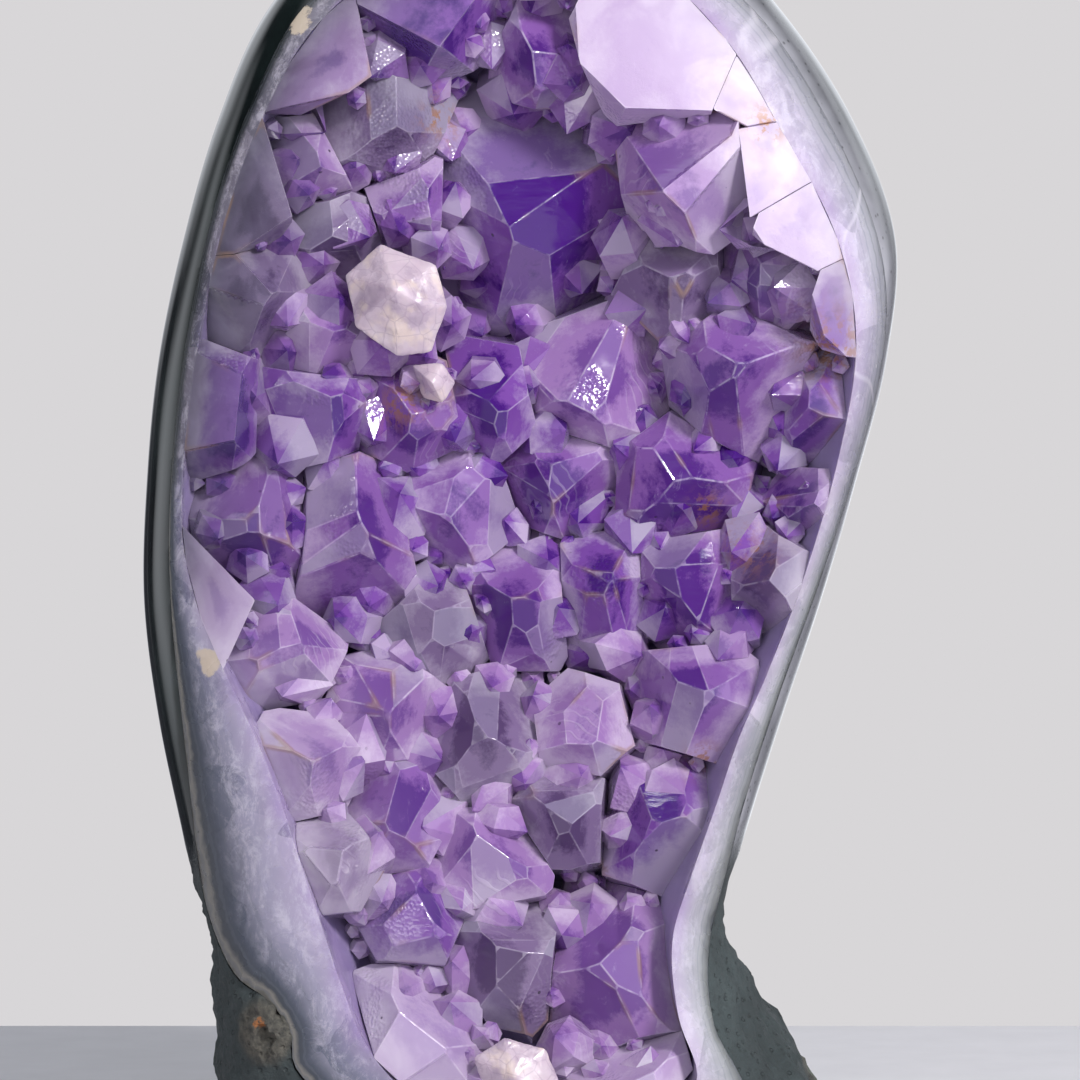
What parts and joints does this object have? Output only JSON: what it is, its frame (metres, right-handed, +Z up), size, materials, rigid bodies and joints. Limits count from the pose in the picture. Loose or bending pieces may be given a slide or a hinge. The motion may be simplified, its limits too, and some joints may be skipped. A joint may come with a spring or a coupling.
{
  "type": "amethyst geode",
  "caption": "Free-standing amethyst geode: half shell of dark basalt with a flat sawn foot, polished rim, agate lining and a hollow full of violet quartz points with calcite.",
  "frame": {"origin": "on the ground, under the middle of the stone's bounding box", "axes": "+Z up the stone, -Y out of the crystal-lined face, +X to the right seen from that face"},
  "size_m": [0.1498, 0.0912, 0.252],
  "materials": {
    "basalt": "polished black-green rim, matt grey-green back and foot",
    "agate": "polished, translucent blue-grey banding",
    "calcite": "waxy pinkish white",
    "amethyst_deep": "glassy, deep violet",
    "amethyst_violet": "glassy, clouded violet with pale edges",
    "amethyst_lilac": "glassy, milky lilac",
    "amethyst_pale": "polished, nearly white lavender",
    "amethyst_smoky": "glassy, greyish purple"
  },
  "bodies": {
    "root": {"basalt_matrix": "basalt", "agate_lining": "agate", "amethyst_crystal_01": "amethyst_lilac", "amethyst_crystal_02": "amethyst_deep", "amethyst_crystal_03": "amethyst_smoky", "amethyst_crystal_04": "amethyst_lilac", "amethyst_crystal_05": "amethyst_smoky", "amethyst_crystal_06": "amethyst_violet", "amethyst_crystal_07": "amethyst_deep", "amethyst_crystal_08": "amethyst_smoky", "amethyst_crystal_09": "amethyst_smoky", "amethyst_crystal_10": "amethyst_lilac", "amethyst_crystal_11": "amethyst_pale", "amethyst_crystal_12": "amethyst_violet", "amethyst_crystal_13": "amethyst_lilac", "amethyst_crystal_14": "amethyst_lilac", "amethyst_crystal_15": "amethyst_pale", "amethyst_crystal_16": "amethyst_pale", "amethyst_crystal_17": "amethyst_pale", "amethyst_crystal_18": "amethyst_violet", "amethyst_crystal_19": "amethyst_smoky", "amethyst_crystal_20": "amethyst_deep", "amethyst_crystal_21": "amethyst_violet", "amethyst_crystal_22": "amethyst_deep", "amethyst_crystal_23": "amethyst_lilac", "amethyst_crystal_24": "amethyst_violet", "amethyst_crystal_25": "amethyst_violet", "amethyst_crystal_26": "amethyst_violet", "amethyst_crystal_27": "amethyst_smoky", "amethyst_crystal_28": "amethyst_violet", "amethyst_crystal_29": "amethyst_deep", "amethyst_crystal_30": "amethyst_violet", "amethyst_crystal_31": "amethyst_deep", "amethyst_crystal_32": "amethyst_deep", "amethyst_crystal_33": "amethyst_violet", "amethyst_crystal_34": "amethyst_deep", "amethyst_crystal_35": "amethyst_violet", "amethyst_crystal_36": "amethyst_violet", "amethyst_crystal_37": "amethyst_violet", "amethyst_crystal_38": "amethyst_pale", "amethyst_crystal_39": "amethyst_lilac", "amethyst_crystal_40": "amethyst_smoky", "amethyst_crystal_41": "amethyst_lilac", "amethyst_crystal_42": "amethyst_smoky", "amethyst_crystal_43": "amethyst_lilac", "amethyst_crystal_44": "amethyst_violet", "amethyst_crystal_45": "amethyst_smoky", "amethyst_crystal_46": "amethyst_deep", "amethyst_crystal_47": "amethyst_lilac", "amethyst_crystal_48": "amethyst_smoky", "amethyst_crystal_49": "amethyst_pale", "amethyst_crystal_50": "amethyst_deep", "amethyst_crystal_51": "amethyst_lilac", "amethyst_crystal_52": "amethyst_smoky", "amethyst_crystal_53": "amethyst_violet", "amethyst_crystal_54": "amethyst_lilac", "amethyst_crystal_55": "amethyst_pale", "calcite_crystal": "calcite", "calcite_spur": "calcite", "calcite_lump": "calcite"}
  },
  "joints": []
}
